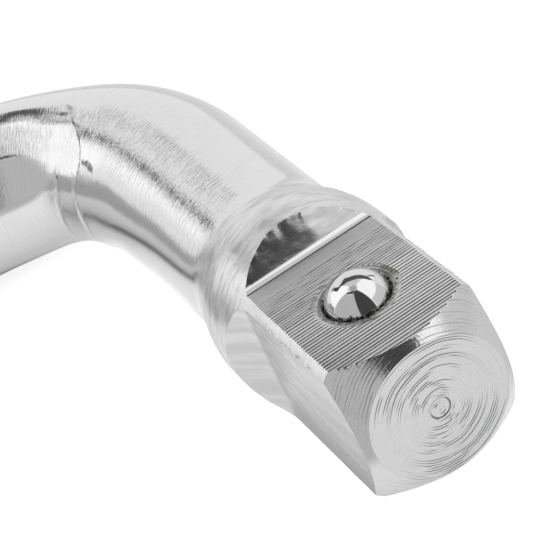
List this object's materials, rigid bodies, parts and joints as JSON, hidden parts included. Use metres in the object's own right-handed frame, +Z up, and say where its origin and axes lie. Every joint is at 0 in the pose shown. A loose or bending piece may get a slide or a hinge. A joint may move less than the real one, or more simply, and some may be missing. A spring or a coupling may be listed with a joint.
{
  "type": "l-handle socket wrench",
  "caption": "Bent steel handle that drives sockets from either end, each end a square with a sprung ball that holds the socket on.",
  "frame": {"origin": "centre of the short arm's round end face", "axes": "+X along the long arm, +Y out of the short arm's end face, +Z up, the side that both balls are on, with the handle lying flat"},
  "size_m": [0.25, 0.0709, 0.017],
  "materials": {
    "plated_steel": "bright plating over a forged and milled steel bar, with milling grooves on the squares and turned rings on the end faces",
    "ball_steel": "polished bearing ball",
    "spring_steel": "plain drawn spring wire"
  },
  "bodies": {
    "handle": {"handle": "plated_steel", "short_end_spring": "spring_steel", "long_end_spring": "spring_steel"},
    "short_end_ball": {"short_end_ball": "ball_steel"},
    "long_end_ball": {"long_end_ball": "ball_steel"}
  },
  "joints": [
    {"name": "short_end_ball_press", "type": "slide", "parent": "handle", "child": "short_end_ball", "axis": [0, 0, 1], "range_m": [-0.0017, 0], "stiffness_N_per_m": 4000, "springref_m": 0.001, "deforming": ["short_end_spring"]},
    {"name": "long_end_ball_press", "type": "slide", "parent": "handle", "child": "long_end_ball", "axis": [0, 0, 1], "range_m": [-0.0017, 0], "stiffness_N_per_m": 4000, "springref_m": 0.001, "deforming": ["long_end_spring"]}
  ]
}
